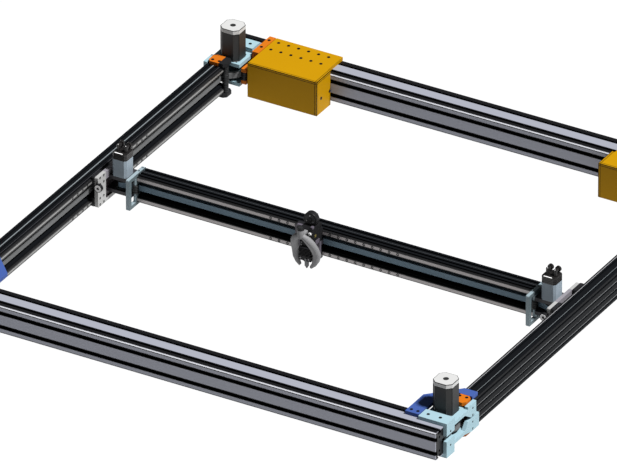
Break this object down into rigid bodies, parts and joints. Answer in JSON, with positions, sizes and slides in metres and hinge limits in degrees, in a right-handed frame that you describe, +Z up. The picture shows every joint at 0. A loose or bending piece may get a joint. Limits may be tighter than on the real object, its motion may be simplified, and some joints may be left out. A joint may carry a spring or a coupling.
{
  "type": "flying gantry",
  "caption": "Square frame of slotted aluminium beams with a belt-driven cross beam that slides front to back and carries a small extruder head from side to side",
  "frame": {"origin": "middle of the footprint, on the surface that the frame stands on", "axes": "+X along the front beam to the right, +Y from the front beam to the back beam, +Z up"},
  "size_m": [1.47, 1.535, 0.1793],
  "materials": {
    "beam_aluminium": "clear anodised extrusion, fine lines along its length",
    "beam_black": "black anodised extrusion",
    "rail_steel": "ground rail steel",
    "block_steel": "dark ball carriages",
    "bracket_light_blue": "light blue anodised plate",
    "plate_blue": "deep blue anodised plate",
    "plate_yellow": "yellow painted plate",
    "bracket_orange": "orange painted bracket",
    "motor_black": "black stator with a pale end cap",
    "wheel_black": "black toothed pulleys and ribbed rollers",
    "belt_rubber": "grey rubber belt",
    "axle_steel": "plain steel axles",
    "plate_grey": "pale grey anodised plate",
    "servo_grey": "grey-blue servo case with a black end cap",
    "bridge_dark": "dark grey plates",
    "tool_mauve": "mauve-grey plate",
    "nozzle_metal": "turned metal nozzle",
    "head_black": "black hot end and drive",
    "duct_grey": "grey moulded duct"
  },
  "bodies": {
    "frame": {"front_beam": "beam_aluminium", "back_beam": "beam_aluminium", "left_beam": "beam_black", "right_beam": "beam_black", "side_rails": "rail_steel", "front_left_corner_bracket": "bracket_light_blue", "front_right_corner_bracket": "bracket_light_blue", "back_left_corner_bracket": "bracket_light_blue", "back_right_corner_bracket": "bracket_light_blue", "front_left_corner_plate": "plate_blue", "front_right_corner_plate": "plate_blue", "left_lift_bracket": "plate_yellow", "right_lift_bracket": "plate_yellow", "upper_guide_brackets": "bracket_orange", "lower_guide_brackets": "bracket_orange", "left_tension_bracket": "bracket_orange", "right_tension_bracket": "bracket_orange", "back_left_motor": "motor_black", "front_right_motor": "motor_black", "left_belt": "belt_rubber", "right_belt": "belt_rubber", "guide_axles": "axle_steel"},
    "gantry": {"cross_beam": "beam_black", "cross_rails": "rail_steel", "cross_belt": "belt_rubber", "left_end_plate": "plate_grey", "right_end_plate": "plate_grey", "left_carriage_plate": "plate_grey", "right_carriage_plate": "plate_grey", "carriage_blocks": "block_steel", "servo_bridges": "bridge_dark", "left_servo": "servo_grey", "right_servo": "servo_grey"},
    "tool_head": {"tool_plate": "tool_mauve", "tool_blocks": "block_steel", "nozzle": "nozzle_metal", "heater_block": "head_black", "heat_sink": "head_black", "extruder_body": "head_black", "extruder_motor": "head_black", "cooling_duct": "duct_grey"},
    "front_left_pulley": {"front_left_pulley": "wheel_black"},
    "front_left_outer_roller": {"front_left_outer_roller": "wheel_black"},
    "front_left_inner_roller": {"front_left_inner_roller": "wheel_black"},
    "front_right_pulley": {"front_right_pulley": "wheel_black"},
    "front_right_outer_roller": {"front_right_outer_roller": "wheel_black"},
    "front_right_inner_roller": {"front_right_inner_roller": "wheel_black"},
    "back_left_pulley": {"back_left_pulley": "wheel_black"},
    "back_left_outer_roller": {"back_left_outer_roller": "wheel_black"},
    "back_left_inner_roller": {"back_left_inner_roller": "wheel_black"},
    "back_right_pulley": {"back_right_pulley": "wheel_black"},
    "back_right_outer_roller": {"back_right_outer_roller": "wheel_black"},
    "back_right_inner_roller": {"back_right_inner_roller": "wheel_black"},
    "left_tension_roller": {"left_tension_roller": "wheel_black"},
    "left_servo_pulley": {"left_servo_pulley": "wheel_black"},
    "left_cross_roller": {"left_cross_roller": "wheel_black"},
    "right_tension_roller": {"right_tension_roller": "wheel_black"},
    "right_servo_pulley": {"right_servo_pulley": "wheel_black"},
    "right_cross_roller": {"right_cross_roller": "wheel_black"},
    "extruder_gear": {"extruder_gear": "head_black"}
  },
  "joints": [
    {"name": "y_slide", "type": "slide", "parent": "frame", "child": "gantry", "axis": [0, 1, 0], "range_m": [-0.46, 0.5]},
    {"name": "x_slide", "type": "slide", "parent": "gantry", "child": "tool_head", "axis": [1, 0, 0], "range_m": [-0.46, 0.56]},
    {"name": "front_left_pulley_spin", "type": "hinge", "parent": "frame", "child": "front_left_pulley", "pos_m": [-0.6876, -0.649, 0.05], "axis": [0, 0, 1], "continuous": true},
    {"name": "front_left_outer_roller_spin", "type": "hinge", "parent": "frame", "child": "front_left_outer_roller", "pos_m": [-0.6785, -0.5945, 0.05], "axis": [0, 0, 1], "continuous": true},
    {"name": "front_left_inner_roller_spin", "type": "hinge", "parent": "frame", "child": "front_left_inner_roller", "pos_m": [-0.71, -0.6103, 0.05], "axis": [0, 0, 1], "continuous": true},
    {"name": "front_right_pulley_spin", "type": "hinge", "parent": "frame", "child": "front_right_pulley", "pos_m": [0.6876, -0.649, 0.05], "axis": [0, 0, 1], "continuous": true},
    {"name": "front_right_outer_roller_spin", "type": "hinge", "parent": "frame", "child": "front_right_outer_roller", "pos_m": [0.6785, -0.5945, 0.05], "axis": [0, 0, 1], "continuous": true},
    {"name": "front_right_inner_roller_spin", "type": "hinge", "parent": "frame", "child": "front_right_inner_roller", "pos_m": [0.71, -0.6103, 0.05], "axis": [0, 0, 1], "continuous": true},
    {"name": "back_left_pulley_spin", "type": "hinge", "parent": "frame", "child": "back_left_pulley", "pos_m": [-0.6876, 0.649, 0.05], "axis": [0, 0, 1], "continuous": true},
    {"name": "back_left_outer_roller_spin", "type": "hinge", "parent": "frame", "child": "back_left_outer_roller", "pos_m": [-0.6785, 0.5945, 0.05], "axis": [0, 0, 1], "continuous": true},
    {"name": "back_left_inner_roller_spin", "type": "hinge", "parent": "frame", "child": "back_left_inner_roller", "pos_m": [-0.71, 0.6103, 0.05], "axis": [0, 0, 1], "continuous": true},
    {"name": "back_right_pulley_spin", "type": "hinge", "parent": "frame", "child": "back_right_pulley", "pos_m": [0.6876, 0.649, 0.05], "axis": [0, 0, 1], "continuous": true},
    {"name": "back_right_outer_roller_spin", "type": "hinge", "parent": "frame", "child": "back_right_outer_roller", "pos_m": [0.6785, 0.5945, 0.05], "axis": [0, 0, 1], "continuous": true},
    {"name": "back_right_inner_roller_spin", "type": "hinge", "parent": "frame", "child": "back_right_inner_roller", "pos_m": [0.71, 0.6103, 0.05], "axis": [0, 0, 1], "continuous": true},
    {"name": "left_tension_roller_spin", "type": "hinge", "parent": "frame", "child": "left_tension_roller", "pos_m": [-0.644, 0.6342, 0.05], "axis": [0, 0, 1], "continuous": true},
    {"name": "left_servo_pulley_spin", "type": "hinge", "parent": "gantry", "child": "left_servo_pulley", "pos_m": [-0.633, -0.0085, 0.05], "axis": [0, 0, 1], "continuous": true},
    {"name": "left_cross_roller_spin", "type": "hinge", "parent": "gantry", "child": "left_cross_roller", "pos_m": [-0.5894, -0.0185, 0.05], "axis": [0, 0, 1], "continuous": true},
    {"name": "right_tension_roller_spin", "type": "hinge", "parent": "frame", "child": "right_tension_roller", "pos_m": [0.644, 0.6342, 0.05], "axis": [0, 0, 1], "continuous": true},
    {"name": "right_servo_pulley_spin", "type": "hinge", "parent": "gantry", "child": "right_servo_pulley", "pos_m": [0.633, -0.0085, 0.05], "axis": [0, 0, 1], "continuous": true},
    {"name": "right_cross_roller_spin", "type": "hinge", "parent": "gantry", "child": "right_cross_roller", "pos_m": [0.5894, -0.0185, 0.05], "axis": [0, 0, 1], "continuous": true},
    {"name": "extruder_gear_spin", "type": "hinge", "parent": "tool_head", "child": "extruder_gear", "pos_m": [-0.047, -0.08, 0.0995], "axis": [0, 1, 0], "continuous": true}
  ],
  "couplings": [
    {"joint": "front_left_pulley_spin", "follows": "y_slide", "rad_per_m": 28.169},
    {"joint": "front_left_outer_roller_spin", "follows": "y_slide", "rad_per_m": -97.087},
    {"joint": "front_left_inner_roller_spin", "follows": "y_slide", "rad_per_m": -111.11},
    {"joint": "front_right_pulley_spin", "follows": "y_slide", "rad_per_m": -28.169},
    {"joint": "front_right_outer_roller_spin", "follows": "y_slide", "rad_per_m": 97.087},
    {"joint": "front_right_inner_roller_spin", "follows": "y_slide", "rad_per_m": 111.11},
    {"joint": "back_left_pulley_spin", "follows": "y_slide", "rad_per_m": 28.169},
    {"joint": "back_left_outer_roller_spin", "follows": "y_slide", "rad_per_m": -97.087},
    {"joint": "back_left_inner_roller_spin", "follows": "y_slide", "rad_per_m": -111.11},
    {"joint": "back_right_pulley_spin", "follows": "y_slide", "rad_per_m": -28.169},
    {"joint": "back_right_outer_roller_spin", "follows": "y_slide", "rad_per_m": 97.087},
    {"joint": "back_right_inner_roller_spin", "follows": "y_slide", "rad_per_m": 111.11},
    {"joint": "left_tension_roller_spin", "follows": "y_slide", "rad_per_m": -97.087},
    {"joint": "left_servo_pulley_spin", "follows": "x_slide", "rad_per_m": 88.889},
    {"joint": "left_cross_roller_spin", "follows": "x_slide", "rad_per_m": -105.82},
    {"joint": "right_tension_roller_spin", "follows": "y_slide", "rad_per_m": 97.087},
    {"joint": "right_servo_pulley_spin", "follows": "x_slide", "rad_per_m": 88.889},
    {"joint": "right_cross_roller_spin", "follows": "x_slide", "rad_per_m": -105.82}
  ]
}
